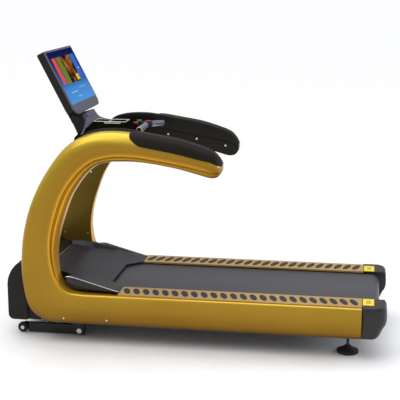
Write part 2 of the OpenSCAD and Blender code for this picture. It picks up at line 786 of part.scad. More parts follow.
// Mast: a wide foot behind the neck cover and a narrow column behind the display.
module mast() {
  foot = [face_point(-94, -18), face_point(-58, -18), face_point(-56, -29), face_point(-21, -29),
    face_point(-21, -92), [-641, 1160], [-641, 1104], [-700, 1104], face_point(-109, -143), face_point(-98, -111)];
  column = [face_point(-112, 70), face_point(-86, 70), face_point(-86, -30), face_point(-112, -50)];
  lug = 12;
  color([0.1, 0.1, 0.11]) difference() {
    union() {
      slab_y(foot, -105, 105);
      slab_y(column, -60, 60);
      display_frame() rod_y(TILT_AT[0], TILT_AT[1], lug, -26, 26);
      display_frame() block([-90, -26, TILT_AT[1] - lug], [TILT_AT[0], 26, TILT_AT[1] + lug]);
    }
    display_frame() rod_y(TILT_AT[0], TILT_AT[1], 6, -40, 40);
  }
}

// Grey front cover of the neck, flaring to both sides along the console.
module neck_cover() {
  top = [[115, -29], [113, -38], [113, -47], [117, -60], [130, -74], [158, -88], [200, -101],
    [250, -114], [296, -125], [300, -128]];
  foot = [[200, -109], [110, -105.5], [0, -105.5]];
  half = concat(top, foot);
  color([0.44, 0.45, 0.52]) display_frame() translate([-20.8, 0, 0]) rotate([90, 0, 90])
    linear_extrude(14.8) polygon(concat(half, [for (i = [len(half) - 2:-1:0]) [-half[i][0], half[i][1]]]));
}

// Plate with a rounded bead across the top of the neck cover.
module neck_plate() {
  color([0.32, 0.33, 0.38]) display_frame() {
    plate_x(90, -54, -31, 8, 4, -6 + e, -1.5);
    rod_y(-2.5, -36, 3.4, -78, 78);
  }
}

module neck_screws() {
  color("silver") display_frame() for (y = [-70, 70])
    translate([-1.5, y, -47]) rotate([0, 90, 0]) cylinder(r = 3.5, h = 2);
}

module display_housing() {
  color([0.15, 0.14, 0.14]) display_frame() difference() {
    union() {
      plate_x(disp_half, -DISP_CHIN, disp_h, 46, 12, -disp_d, -9);
      both() block([TILT_AT[0] - 14, 28, TILT_AT[1] - 14], [-disp_d + e, 42, TILT_AT[1] + 14]);
    }
    rod_y(TILT_AT[0], TILT_AT[1], 6 + FIT, -50, 50);
    // Room for the screen.
    block([-20, -246, 40], [-8, 246, 360]);
  }
}

module display_bezel() {
  color([0.42, 0.43, 0.5]) display_frame() difference() {
    plate_x(disp_half - 1, 1 - DISP_CHIN, disp_h - 1, 45, 11, -9, 0);
    block([-12, -245, 41], [2, 245, 359]);
  }
}

module display_screen() {
  color([0.2, 0.4, 0.75]) display_frame() block([-19.8, -244.8, 41.2], [-1.5, 244.8, 358.8]);
}

module display_pin() {
  color("silver") display_frame() rod_y(TILT_AT[0], TILT_AT[1], 6, -44, 44);
}

// ---------- hand grips and controls ----------

GRIP_Z = 1200;
GRIP_L = [[-311, -34, GRIP_Z], [-309, -232, GRIP_Z]];
GRIP_R = [[-304, 34, GRIP_Z - 3], [-263, 194, GRIP_Z - 20]];

// Point a share t of the way along a grip's axis.
function along(g, t) = g[0] + (g[1] - g[0]) * t;

// Cylinder between two points.
module rod_between(a, b, r) {
  d = b - a;
  translate(a) rotate([0, acos(d[2] / norm(d)), atan2(d[1], d[0])]) cylinder(r = r, h = norm(d));
}

module handlebar() {
  color([0.08, 0.08, 0.08]) difference() {
    union() {
      block([-337, -34, 1180], [-290, 34, 1214]);
      for (g = [GRIP_L, GRIP_R]) rod_between(along(g, -0.06), along(g, 1), 13.5);
    }
    translate([-306, 0, 1206]) cylinder(r = 10.3, h = 10);
  }
}

module grip(g, t0, t1) {
  color([0.6, 0.6, 0.72]) difference() {
    rod_between(along(g, t0), along(g, t1), 17);
    rod_between(along(g, t0 - 0.02), along(g, t1 - 0.02), 13.6);
  }
}

module grip_left() {
  grip(GRIP_L, 0.01, 1.035);
}

module grip_right() {
  grip(GRIP_R, 0.05, 1.04);
}

module button(y) {
  translate([BUTTON_X, y, 1200]) cylinder(r = 15, h = 16);
}

module stop_button() {
  color([0.75, 0.1, 0.12]) button(-BUTTON_Y);
}

module start_button() {
  color([0.1, 0.55, 0.25]) button(BUTTON_Y);
}

module safety_key() {
  color([0.85, 0.2, 0.2]) {
    translate([-306, 0, 1206.2]) cylinder(r = 10, h = 11);
    translate([-306, 0, 1217]) cylinder(r = 13, h = 4);
  }
}

chassis();
upright_left();
upright_right();
shell_left();
shell_right();
panel_left();
panel_right();
arm_cover_left();
arm_cover_right();
arm_pad_left();
arm_pad_right();
frame_screws();
foot_rail_left();
foot_rail_right();
rail_studs();
end_cap_left();
end_cap_right();
rail_labels();
deck();
deck_cushions();
running_belt();
front_roller();
rear_roller();
drive_belt();
motor();
motor_rotor();
controller();
power_panel();
power_switch();
hood_top();
hood_trim();
hood_front();
incline_arm();
arm_pins();
wheel_left();
wheel_right();
wheel_pins();
lift_body();
lift_rod();
lift_pin();
foot_left();
foot_right();
foot_nuts();
console();
tray_trim();
console_bars();
mast();
neck_cover();
neck_plate();
neck_screws();
display_housing();
display_bezel();
display_screen();
display_pin();
handlebar();
grip_left();
grip_right();
stop_button();
start_button();
safety_key();
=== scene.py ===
"""Looks of a commercial treadmill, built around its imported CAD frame.

Lengths are in millimetres until a mesh is made.
"""
import math

import bmesh
import bpy
from mathutils import Matrix, Vector


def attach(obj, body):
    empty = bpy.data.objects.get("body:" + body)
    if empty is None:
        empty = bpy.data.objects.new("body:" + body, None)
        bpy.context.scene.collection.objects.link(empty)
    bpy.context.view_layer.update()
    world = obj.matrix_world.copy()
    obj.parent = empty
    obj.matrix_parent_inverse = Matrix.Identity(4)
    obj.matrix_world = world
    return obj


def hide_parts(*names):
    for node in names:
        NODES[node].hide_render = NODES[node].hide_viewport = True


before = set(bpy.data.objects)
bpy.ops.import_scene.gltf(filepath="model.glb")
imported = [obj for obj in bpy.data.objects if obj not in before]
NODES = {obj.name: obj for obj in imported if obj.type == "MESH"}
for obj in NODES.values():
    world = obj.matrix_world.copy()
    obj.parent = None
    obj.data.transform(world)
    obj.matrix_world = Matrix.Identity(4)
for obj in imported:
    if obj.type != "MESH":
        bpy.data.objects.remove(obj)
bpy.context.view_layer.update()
scene = bpy.context.scene
MM = 0.001

# ---------------------------------------------------------------- camera, light and floor

CAMERA_AT = Vector((0.952, -5.796, 2.065))
CAMERA_TO = Vector((-0.004, 0.0, 0.763))
camera = bpy.data.objects.new("camera", bpy.data.cameras.new("camera"))
camera.data.lens = 93.3
camera.data.sensor_width = 36.0
camera.location = CAMERA_AT
camera.rotation_euler = (CAMERA_TO - CAMERA_AT).to_track_quat("-Z", "Y").to_euler()
scene.collection.objects.link(camera)
scene.camera = camera
scene.view_settings.view_transform = "Standard"

world = bpy.data.worlds.new("studio")
scene.world = world
world.use_nodes = True
world.node_tree.nodes["Background"].inputs["Color"].default_value = (0.96, 0.97, 1.0, 1)
world.node_tree.nodes["Background"].inputs["Strength"].default_value = 0.5

sun = bpy.data.objects.new("overhead", bpy.data.lights.new("overhead", "SUN"))
sun.data.energy = 2.1
sun.data.angle = 1.3
sun.rotation_euler = (math.radians(-6), math.radians(-10), 0)
scene.collection.objects.link(sun)


def area_light(name, at, to, size, power, colour=(1, 1, 1)):
    """Soft rectangular light at a point, aimed at another."""
    data = bpy.data.lights.new(name, "AREA")
    data.shape = "RECTANGLE"
    data.size, data.size_y = size
    data.energy = power
    data.color = colour
    light = bpy.data.objects.new(name, data)
    light.location = at
    light.rotation_euler = (Vector(to) - Vector(at)).to_track_quat("-Z", "Y").to_euler()
    scene.collection.objects.link(light)


area_light("key", (-2.6, -3.4, 4.2), (0, 0, 0.6), (3.0, 2.2), 60, (1.0, 0.98, 0.94))
area_light("rim", (4.2, 1.6, 2.2), (0.2, 0, 0.5), (2.0, 2.0), 40, (0.85, 0.9, 1.0))

# ---------------------------------------------------------------- materials


class Nodes:
    """Small helper that adds and links the nodes of one material."""

    def __init__(self, name):
        self.material = bpy.data.materials.new(name)
        self.material.use_nodes = True
        self.tree = self.material.node_tree
        self.shader = self.tree.nodes["Principled BSDF"]
        self.coords = self.tree.nodes.new("ShaderNodeTexCoord").outputs["Object"]

    def link(self, a, b):
        self.tree.links.new(a, b)

    def feed(self, socket, value):
        if isinstance(value, bpy.types.NodeSocket):
            self.link(value, socket)
        elif value is not None:
            socket.default_value = value

    def math(self, operation, a, b=None, clamp=False):
        node = self.tree.nodes.new("ShaderNodeMath")
        node.operation = operation
        node.use_clamp = clamp
        self.feed(node.inputs[0], a)
        self.feed(node.inputs[1], b)
        return node.outputs[0]

    def dot(self, vector, direction):
        node = self.tree.nodes.new("ShaderNodeVectorMath")
        node.operation = "DOT_PRODUCT"
        self.link(vector, node.inputs[0])
        node.inputs[1].default_value = direction
        return node.outputs["Value"]

    def scaled(self, scale):
        node = self.tree.nodes.new("ShaderNodeMapping")
        node.inputs["Scale"].default_value = scale
        self.link(self.coords, node.inputs["Vector"])
        return node.outputs["Vector"]

    def noise(self, scale, detail=3.0, stretch=(1, 1, 1)):
        node = self.tree.nodes.new("ShaderNodeTexNoise")
        node.inputs["Scale"].default_value = scale
        node.inputs["Detail"].default_value = detail
        self.link(self.scaled(stretch), node.inputs["Vector"])
        return node.outputs["Fac"]

    def cells(self, scale, stretch=(1, 1, 1)):
        node = self.tree.nodes.new("ShaderNodeTexVoronoi")
        node.inputs["Scale"].default_value = scale
        self.link(self.scaled(stretch), node.inputs["Vector"])
        return node.outputs["Distance"]

    def ramp(self, value, stops):
        node = self.tree.nodes.new("ShaderNodeValToRGB")
        ramp = node.color_ramp
        while len(ramp.elements) < len(stops):
            ramp.elements.new(0.5)
        for element, (place, colour) in zip(ramp.elements, stops):
            element.position = place
            element.color = (*colour, 1)
        self.link(value, node.inputs["Fac"])
        return node.outputs["Color"]

    def mix(self, factor, a, b, kind="MIX"):
        node = self.tree.nodes.new("ShaderNodeMix")
        node.data_type = "RGBA"
        node.blend_type = kind
        self.feed(node.inputs["Factor"], factor)
        for socket, value in ((node.inputs["A"], a), (node.inputs["B"], b)):
            self.feed(socket, value if isinstance(value, bpy.types.NodeSocket) else (*value, 1))
        return node.outputs["Result"]

    def span(self, value, low, high):
        node = self.tree.nodes.new("ShaderNodeMapRange")
        node.inputs["To Min"].default_value = low
        node.inputs["To Max"].default_value = high
        self.link(value, node.inputs["Value"])
        return node.outputs["Result"]

    def bump(self, height, distance, strength=1.0):
        node = self.tree.nodes.new("ShaderNodeBump")
        node.inputs["Distance"].default_value = distance
        node.inputs["Strength"].default_value = strength
        self.link(height, node.inputs["Height"])
        self.link(node.outputs["Normal"], self.shader.inputs["Normal"])

    def set(self, **values):
        for name, value in values.items():
            self.feed(self.shader.inputs[name.replace("_", " ")], value)
        return self


def finish_of(name, dark, light, rough, grain, depth, metal=0.0, coat=0.0, stretch=(1, 1, 1), patch=6.0,
              cells=False,
              gloss=0.3):
    """Material with two close tones in soft patches, uneven gloss and a fine surface grain."""
    n = Nodes(name)
    soft = n.noise(patch, 4.0, stretch)
    fine = n.cells(grain, stretch) if cells else n.noise(grain, 2.0, stretch)
    n.link(n.ramp(n.math("ADD", n.math("MULTIPLY", soft, 0.7), n.math("MULTIPLY", fine, 0.3)),
                  [(0.3, dark), (0.7, light)]), n.shader.inputs["Base Color"])
    n.link(n.span(n.math("ADD", n.math("MULTIPLY", soft, 0.6), n.math("MULTIPLY", fine, 0.4)),
                  rough - 0.06, rough + 0.08), n.shader.inputs["Roughness"])
    n.shader.inputs["Metallic"].default_value = metal
    n.shader.inputs["Coat Weight"].default_value = coat
    n.shader.inputs["Specular IOR Level"].default_value = gloss
    n.shader.inputs["Coat Roughness"].default_value = 0.08
    n.bump(fine, depth)
    return n.material


# Middle of the C, used by gold_paint to find the rim faces that get the painted orange reflection.
CURVE_CENTRE = (-0.30, 0.0, 0.70)


def gold_paint():
    """Metallic gold paint with painted light: yellow on top, amber on the sides, dark brown facing down, and a
    painted orange reflection on the rim that faces into the C.
    """
    n = Nodes("gold_paint")
    normal = n.tree.nodes.new("ShaderNodeNewGeometry").outputs["Normal"]
    up = n.dot(normal, (0, 0, 1))
    inward = n.tree.nodes.new("ShaderNodeVectorMath")
    inward.operation = "SUBTRACT"
    inward.inputs[0].default_value = CURVE_CENTRE
    n.link(n.scaled((1, 0, 1)), inward.inputs[1])
    unit = n.tree.nodes.new("ShaderNodeVectorMath")
    unit.operation = "NORMALIZE"
    n.link(inward.outputs["Vector"], unit.inputs[0])
    facing = n.tree.nodes.new("ShaderNodeVectorMath")
    facing.operation = "DOT_PRODUCT"
    n.link(unit.outputs["Vector"], facing.inputs[0])
    n.link(normal, facing.inputs[1])
    patches = n.math("MULTIPLY", n.math("SUBTRACT", n.noise(2.2, 2.0), 0.5), 0.10)
    # Painted light: the colour follows how far each face turns up, lighter and yellower on top and darker below,
    # plus random patches of tone.
    painted_light_tone = n.math("ADD", n.math("MULTIPLY", n.math("ADD", up, 1.0), 0.5), patches, clamp=True)
    body = n.ramp(painted_light_tone, [(0.18, (0.15, 0.062, 0.003)), (0.42, (0.24, 0.115, 0.006)),
                         (0.54, (0.33, 0.185, 0.013)),
                         (0.70, (0.56, 0.37, 0.034)), (0.92, (0.68, 0.48, 0.055))])
    # Painted reflection: faces turned towards the middle of the C get an orange tint, less on faces that point
    # straight up or down.
    rim = n.ramp(facing.outputs["Value"], [(0.12, (0, 0, 0)), (0.42, (1, 1, 1))])
    painted_rim_reflection = n.math("MULTIPLY", rim, n.math("SUBTRACT", 1.25, n.math("ABSOLUTE", up)), clamp=True)
    body = n.mix(painted_rim_reflection, body, (0.70, 0.34, 0.018))
    flakes = n.noise(2600, 1.0)
    n.link(n.mix(n.span(flakes, 0.0, 0.10), body, (0.80, 0.60, 0.12)), n.shader.inputs["Base Color"])
    n.link(n.span(n.noise(30, 3.0), 0.28, 0.36), n.shader.inputs["Roughness"])
    n.set(Metallic=0.6, Specular_IOR_Level=0.2)
    n.bump(flakes, 0.00002, 0.5)
    return n.material


def belt_skin():
    """Running belt: fine diamond-pressed rubber, slightly blue, a little lighter down the middle and darker
    towards the edges.
    """
    n = Nodes("belt_skin")
    weave = n.math("ADD", n.cells(420, (1, 1.7, 1)), n.math("MULTIPLY", n.noise(900, 1.0), 0.3))
    across = n.math("ABSOLUTE", n.dot(n.coords, (0, 1, 0)))
    # Lighter down the middle of the belt and darker towards its edges, broken up by soft noise.
    middle_fade = n.math("ADD", n.math("MULTIPLY", across, 2.2),
                  n.math("MULTIPLY", n.noise(5, 4.0, (0.4, 1, 1)), 0.5))
    base = n.ramp(middle_fade, [(0.2, (0.052, 0.050, 0.058)), (0.9, (0.034, 0.032, 0.038))])
    n.link(n.mix(n.span(weave, 0.0, 0.3), base, (0.075, 0.073, 0.085)), n.shader.inputs["Base Color"])
    n.link(n.span(n.noise(12, 4.0), 0.4, 0.5), n.shader.inputs["Roughness"])
    n.set(Specular_IOR_Level=0.4)
    n.bump(weave, 0.0002, 0.6)
    return n.material


def rail_metal():
    """Tan anodised aluminium, brushed along the rail, with fine long grooves."""
    n = Nodes("rail_metal")
    brush = n.noise(40, 4.0, (0.5, 28, 6))
    n.link(n.ramp(n.math("ADD", n.math("MULTIPLY", brush, 0.6), n.math("MULTIPLY", n.noise(4), 0.4)),
                  [(0.25, (0.42, 0.25, 0.075)), (0.75, (0.58, 0.37, 0.13))]), n.shader.inputs["Base Color"])
    n.link(n.span(brush, 0.32, 0.48), n.shader.inputs["Roughness"])
    n.set(Metallic=0.35)
    n.bump(brush, 0.0001, 0.5)
    return n.material


FACE_X, FACE_Z = -664, 1297
SCREEN_AT = Vector((FACE_X * MM, 0, FACE_Z * MM))
LEAN = math.radians(27.2)
FACE_UP = (-math.sin(LEAN), 0, math.cos(LEAN))
SCREEN_HALF = 0.245
SCREEN_LOW, SCREEN_HIGH = 0.041, 0.359


def screen_glass():
    """Lit screen with a plain generic menu: blue gradient, coloured tiles and short bars."""
    n = Nodes("screen_glass")
    across = n.math("DIVIDE", n.math("ADD", n.dot(n.coords, (0, 1, 0)), SCREEN_HALF), 2 * SCREEN_HALF)
    foot = Vector(FACE_UP).dot(SCREEN_AT) + SCREEN_LOW
    up = n.math("DIVIDE", n.math("SUBTRACT", n.dot(n.coords, FACE_UP), foot), SCREEN_HIGH - SCREEN_LOW)
    colour = n.ramp(up, [(0.0, (0.10, 0.34, 0.80)), (0.28, (0.07, 0.27, 0.66)), (0.42, (0.03, 0.11, 0.36)),
                         (0.8, (0.010, 0.018, 0.12)), (1.0, (0.007, 0.008, 0.075))])
    warm = n.ramp(n.math("ADD", n.noise(16, 2.0), n.math("MULTIPLY", up, 0.15)),
                  [(0.45, (0.012, 0.006, 0.004)), (0.6, (0.16, 0.05, 0.012)), (0.8, (0.55, 0.22, 0.05))])
    tiles = [(0.09, 0.215, 0.38, 0.88, (0.80, 0.09, 0.09)), (0.245, 0.40, 0.36, 0.88, (0.17, 0.24, 0.012)),
             (0.415, 0.78, 0.36, 0.88, warm), (0.80, 0.955, 0.40, 0.88, (0.04, 0.16, 0.70)),
             (0.66, 0.775, 0.38, 0.50, (0.82, 0.52, 0.05)), (0.88, 0.92, 0.585, 0.61, (0.7, 0.8, 0.9)),
             (0.20, 0.46, 0.19, 0.205, (0.45, 0.62, 0.85)), (0.56, 0.82, 0.24, 0.252, (0.35, 0.52, 0.8)),
             (0.38, 0.54, 0.09, 0.11, (0.3, 0.5, 0.85))]
    for left, right, low, high, tint in tiles:
        off_x = n.math("ABSOLUTE", n.math("SUBTRACT", across, (left + right) / 2))
        off_z = n.math("ABSOLUTE", n.math("SUBTRACT", up, (low + high) / 2))
        inside_x = n.math("LESS_THAN", off_x, (right - left) / 2)
        inside_z = n.math("LESS_THAN", off_z, (high - low) / 2)
        colour = n.mix(n.math("MULTIPLY", inside_x, inside_z), colour, tint)
    n.link(n.mix(1.0, colour, (0.1, 0.1, 0.1), "MULTIPLY"), n.shader.inputs["Base Color"])
    n.link(colour, n.shader.inputs["Emission Color"])
    n.link(n.span(n.noise(9, 3.0), 0.3, 0.4), n.shader.inputs["Roughness"])
    n.set(Emission_Strength=0.8, Specular_IOR_Level=0.0)
    return n.material


BAR_X, BAR_Y = 0.98, 0.331
BAR_HALF = (0.012, 0.03)


def label_film():
    """Plain yellow film with a darker bar across it."""
    n = Nodes("label_film")
    along = n.dot(n.coords, (1, 0, 0))
    off_middle = n.math("ABSOLUTE", n.dot(n.coords, (0, 1, 0)))
    bar = n.math("LESS_THAN", n.math("ABSOLUTE", n.math("SUBTRACT", along, BAR_X)), BAR_HALF[0])
    broad = n.math("LESS_THAN", n.math("ABSOLUTE", n.math("SUBTRACT", off_middle, BAR_Y)), BAR_HALF[1])
    line = n.math("MULTIPLY", n.math("MULTIPLY", bar, broad), 0.55)
    base = n.ramp(n.noise(60), [(0.3, (0.78, 0.60, 0.01)), (0.7, (0.88, 0.70, 0.02))])
    n.link(n.mix(line, base, (0.25, 0.19, 0.02)), n.shader.inputs["Base Color"])
    n.link(n.span(n.noise(25), 0.3, 0.42), n.shader.inputs["Roughness"])
    return n.material


GOLD = gold_paint()
BELT = belt_skin()
RAIL = rail_metal()
SCREEN = screen_glass()
LABEL = label_film()
PANEL = finish_of("gold_panel", (0.115, 0.074, 0.009), (0.165, 0.108, 0.013), 0.34, 1500, 0.00003,
                  metal=0.5, gloss=0.2)
SOFT = finish_of("soft_skin", (0.009, 0.007, 0.005), (0.014, 0.011, 0.008), 0.46, 700, 0.00008, cells=True,
                 gloss=0.08)
BLACK = finish_of("black_moulded", (0.009, 0.007, 0.005), (0.016, 0.013, 0.010), 0.42, 1500, 0.00005,
                  gloss=0.18)
CAP = finish_of("cap_moulded", (0.013, 0.010, 0.009), (0.024, 0.019, 0.018), 0.36, 1200, 0.00006, gloss=0.35)
GLOSS = finish_of("gloss_black", (0.004, 0.003, 0.002), (0.006, 0.005, 0.003), 0.4, 500, 0.00001, gloss=0.0)
HOOD = finish_of("hood_moulded", (0.020, 0.019, 0.022), (0.034, 0.032, 0.038), 0.38, 1300, 0.00006, gloss=0.3)
# Pale colour of the raised pad seams: a painted highlight along each pad's inner upper edge.
PAD_SEAM_HIGHLIGHT = finish_of("seam_painted_highlight", (0.10, 0.095, 0.09), (0.17, 0.165, 0.16), 0.4, 800, 0.00003)
NECK = finish_of("neck_moulded", (0.075, 0.075, 0.112), (0.105, 0.105, 0.150), 0.34, 1200, 0.00005, gloss=0.3)
STEEL_BLACK = finish_of("powder_coat", (0.010, 0.010, 0.009), (0.020, 0.019, 0.018), 0.42, 900, 0.00008,
                        gloss=0.3)
RUBBER = finish_of("black_rubber", (0.012, 0.012, 0.012), (0.022, 0.022, 0.022), 0.62, 1100, 0.0001,
                   cells=True)
STUD = finish_of("stud_rubber", (0.016, 0.016, 0.017), (0.028, 0.028, 0.029), 0.55, 700, 0.00015, cells=True)
STEEL = finish_of("zinc_steel", (0.50, 0.50, 0.48), (0.78, 0.77, 0.74), 0.26, 260, 0.00003, metal=0.9)
TRIM = finish_of("bright_trim", (0.62, 0.62, 0.55), (0.82, 0.82, 0.75), 0.2, 300, 0.00001, metal=0.8)
SILVER = finish_of("grip_silver", (0.16, 0.16, 0.23), (0.26, 0.26, 0.36), 0.27, 900, 0.00004, metal=0.6)
# Cream colour at the outer end of the near grip: a painted reflection of the gold frame.
GRIP_END_REFLECTION = finish_of("grip_end_painted_reflection", (0.46, 0.43, 0.33), (0.60, 0.57, 0.46), 0.4, 700, 0.00004)
MOTOR = finish_of("motor_paint", (0.20, 0.21, 0.22), (0.33, 0.34, 0.35), 0.4, 300, 0.00008, metal=0.4)
BOARD = finish_of("board_green", (0.03, 0.10, 0.05), (0.06, 0.18, 0.09), 0.45, 200, 0.0001)
WOOD = finish_of("deck_wood", (0.11, 0.07, 0.035), (0.24, 0.16, 0.09), 0.5, 160, 0.0001, stretch=(0.15, 1, 1))
RED = finish_of("red_plastic", (0.36, 0.010, 0.012), (0.52, 0.025, 0.025), 0.3, 900, 0.00003)
GREEN = finish_of("green_plastic", (0.010, 0.17, 0.05), (0.025, 0.28, 0.08), 0.3, 900, 0.00003)
FLOOR = finish_of("studio_floor", (0.88, 0.88, 0.88), (0.93, 0.93, 0.93), 0.6, 40, 0.00005)

# ---------------------------------------------------------------- mesh helpers


def add_mesh(name, points, faces, body, material, slot, nodes=(), flip=False):
    """Object from points in millimetres; it rides on a body and stands for CAD nodes."""
    mesh = bpy.data.meshes.new(name)
    mesh.from_pydata([Vector((x, -y if flip else y, z)) * MM for x, y, z in points], [], faces)
    work = bmesh.new()
    work.from_mesh(mesh)
    bmesh.ops.recalc_face_normals(work, faces=work.faces)
    work.to_mesh(mesh)
    work.free()
    mesh.shade_smooth()
    mesh.materials.append(material)
    piece = bpy.data.objects.new(name, mesh)
    scene.collection.objects.link(piece)
    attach(piece, body)
    if nodes:
        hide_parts(*nodes)
    return piece


def loft(rings, closed=True, caps=True, wrap=False):
    """Points and quads through a list of equal rings."""
    m, n = len(rings[0]), len(rings)
    points = [p for ring in rings for p in ring]
    faces = []
    for i in range(n if wrap else n - 1):
        k = (i + 1) % n
        for j in range(m if closed else m - 1):
            faces.append((i * m + j, i * m + (j + 1) % m, k * m + (j + 1) % m, k * m + j))
    if caps and not wrap:
        faces.append(tuple(range(m))[::-1])
        faces.append(tuple((n - 1) * m + j for j in range(m)))
    return points, faces


def subsurf(piece, levels):
    mod = piece.modifiers.new("smooth", "SUBSURF")
    mod.levels = mod.render_levels = levels
    return piece


def bevel(piece, radius, segments=3, angle=30):
    mod = piece.modifiers.new("edges", "BEVEL")
    mod.width = radius * MM
    mod.segments = segments
    mod.limit_method = "ANGLE"
    mod.angle_limit = math.radians(angle)
    piece.modifiers.new("shading", "WEIGHTED_NORMAL").weight = 60
    return piece


def dress(node, material, radius=0.0, segments=2, angle=35):
    """Gives a CAD node its material and, where radius is set, rounded edges."""
    piece = NODES[node]
    piece.data.materials.clear()
    piece.data.materials.append(material)
    if radius:
        piece.modifiers.new("weld", "WELD").merge_threshold = 0.00002
        bevel(piece, radius, segments, angle)


def slab(outline, y0, y1):
    """Points and faces of an x-z outline between two y values."""
    return loft([[(x, y, z) for x, z in outline] for y in (y0, y1)])


def lathe(profile, centre, along, turns=48):
    """Points and faces of a radius-height profile turned about an axis through centre: 'y' or 'z'."""
    rings = []
    for r, h in profile:
        ring = []
        for i in range(turns):
            a = 2 * math.pi * i / turns
            if along == "z":
                ring.append((centre[0] + r * math.cos(a), centre[1] + r * math.sin(a), centre[2] + h))
            else:
                ring.append((centre[0] + r * math.cos(a), centre[1] + h, centre[2] + r * math.sin(a)))
        rings.append(ring)
    return loft(rings)


def rod(a, b, profile, turns=40):
    """Points and faces of a profile of (share of the length, radius) about the line from a to b."""
    a, b = Vector(a), Vector(b)
    d = (b - a).normalized()
    side = d.cross(Vector((0, 0, 1))).normalized()
    over = side.cross(d)
    rings = []
    for share, r in profile:
        c = a.lerp(b, share)
        angles = [2 * math.pi * i / turns for i in range(turns)]
        rings.append([tuple(c + side * (r * math.cos(t)) + over * (r * math.sin(t))) for t in angles])
    return loft(rings)


# ---------------------------------------------------------------- side frames

SIDE_IN = 340
SHELL_T = 5
# Stations along a side frame: outer edge x and z, crease x and z, reach of the rim,
# depth of the pocket, share of the width.
STATIONS = [
    (946, 109, 946, 296, -12, 1, 1), (500, 109, 500, 296, -12, 1, 1), (0, 109, 0, 296, -12, 1, 1),
    (-350, 109, -350, 296, -12, 1, 1), (-560, 109, -500, 295, -10, 1, 1), (-700, 110, -610, 296, -6, 1, 1),
    (-822, 118, -688, 308, 0, 1, 1), (-921, 190, -742, 360, 6, 1, 1), (-958, 350, -770, 450, 18, 1, 1),
    (-959, 490, -778, 545, 28, 1, 1), (-943, 625, -768, 645, 36, 1, 1), (-907, 762, -740, 750, 40, 1, 1),
    (-848, 897, -702, 850, 40, 1, 1), (-770, 1022, -650, 934, 38, 1, 1), (-694, 1113, -590, 1002, 34, 1, 1),
    (-618, 1168, -530, 1047, 30, 1, 1), (-525, 1202, -462, 1069, 30, 1, 1),
    (-423, 1212, -390, 1080, 34, 1, 1),
    (-310, 1206, -290, 1078, 31, 1, 1), (-190, 1188, -180, 1065, 29, 1, 1), (-50, 1164, -50, 1044, 31, 1, 1),
    (65, 1130, 57, 1023, 37, 1, 1), (125, 1105, 120, 1008, 38, 0.4, 0.98),
    (160, 1072, 158, 1000, 22, 0.05, 0.86),
    (179, 1044, 178, 1012, 6, 0.02, 0.5)]
SHELL_STEPS = 5
PAD_FIRST, PAD_LAST = 17.85, 24.0
PAD_STEPS = 48
COVER_FIRST, COVER_LAST = 15.0, 24.0
SEAM_AT = (14, 30)
SEAM_LAST = 21.6
PAD_SWELL = 5.5
COVER_RAISE, COVER_EASE = 9.5, 3.5
COVER_OUT = 12


def station(s):
    """Values at a real-valued place along the stations."""
    i = min(int(s), len(STATIONS) - 2)
    a, b, c, d = (STATIONS[max(0, min(len(STATIONS) - 1, k))] for k in (i - 1, i, i + 1, i + 2))
    t = s - i
    return [0.5 * (2 * q + (r - p) * t + (2 * p - 5 * q + 4 * r - e) * t * t + (3 * q - p - 3 * r + e) * t ** 3)
            for p, q, r, e in zip(a, b, c, d)]


def width(st):
    return math.hypot(st[2] - st[0], st[3] - st[1])


def place(st, u, v):
    """u runs from the outer edge past the crease, v is the distance from the side frame's inner face."""
    w = width(st)
    return (st[0] + (st[2] - st[0]) / w * u, SIDE_IN + (v * st[6] if v > 0 else v),
            st[1] + (st[3] - st[1]) / w * u)


def shell_ring(st):
    """Section of a frame shell: rounded outer edge, crowned face, groove at the crease and a rolled rim."""
    w, l, t = width(st), st[4], SHELL_T
    q, d = min(1, w / 110), min(1, st[5])
    g = min(1, max(0, l) / 20)
    outer = [(6, 0), (2.2, 4), (0, 14), (0, 30), (0.6, 46), (2, 60), (6.5 * q, 74), (14 * q, 85),
             (26 * q, 94.5),
             (40 * q, 100), (0.45 * w, 107), (0.62 * w, 108), (0.8 * w, 106), (w - 14 * q, 103.6),
             (w - 6, 101),
             (w - 2, 98), (w - 0.8, 91 - 3 * g), (w - 0.8 + 0.07 * l, 86 - 4 * g), (w + 0.17 * l, 85 - 1 * g),
             (w + 0.26 * l, 88 + 4 * g), (w + 0.46 * l, 85 + 3 * g), (w + 0.66 * l, 78 + 2 * g),
             (w + 0.84 * l, 67 + g),
             (w + 0.96 * l, 54), (w + l, 40), (w + l, 12), (w + l - 0.7, 3), (w + l - 2.4, 0)]
    inner = [(w + l - 2 - t, 0), (w + l - t, 12 * d), (w + l - t, 44 * d), (w + 0.6 * l - t, 70 * d),
             (max(0.84 * w, w - 6 - t), 84 * d), (0.8 * w, 101 * d), (0.45 * w, 103 * d), (42 * q, 94 * d),
             (max(7 + t - 6 * d, (14 + t) * q), 80 * d), (6 + t - 4 * d, 58 * d), (6 + t - 6 * d, 25 * d),
             (6 + t, 0)]
    return [place(st, u, v) for u, v in outer + inner]


def between(table, x):
    """Straight-line value in a sorted table of pairs, held at its ends."""
    for (x0, v0), (x1, v1) in zip(table, table[1:]):
        if x <= x1:
            return v0 + (v1 - v0) * max(0, (x - x0) / (x1 - x0))
    return table[-1][1]


def bulge(st, u):
    """Distance of the shell's outer face beyond its inner face at a depth u."""
    w = width(st)
    q = min(1, w / 110)
    return between([(0, 25), (2, 60), (14 * q, 85), (40 * q, 100), (0.45 * w, 108)], u)


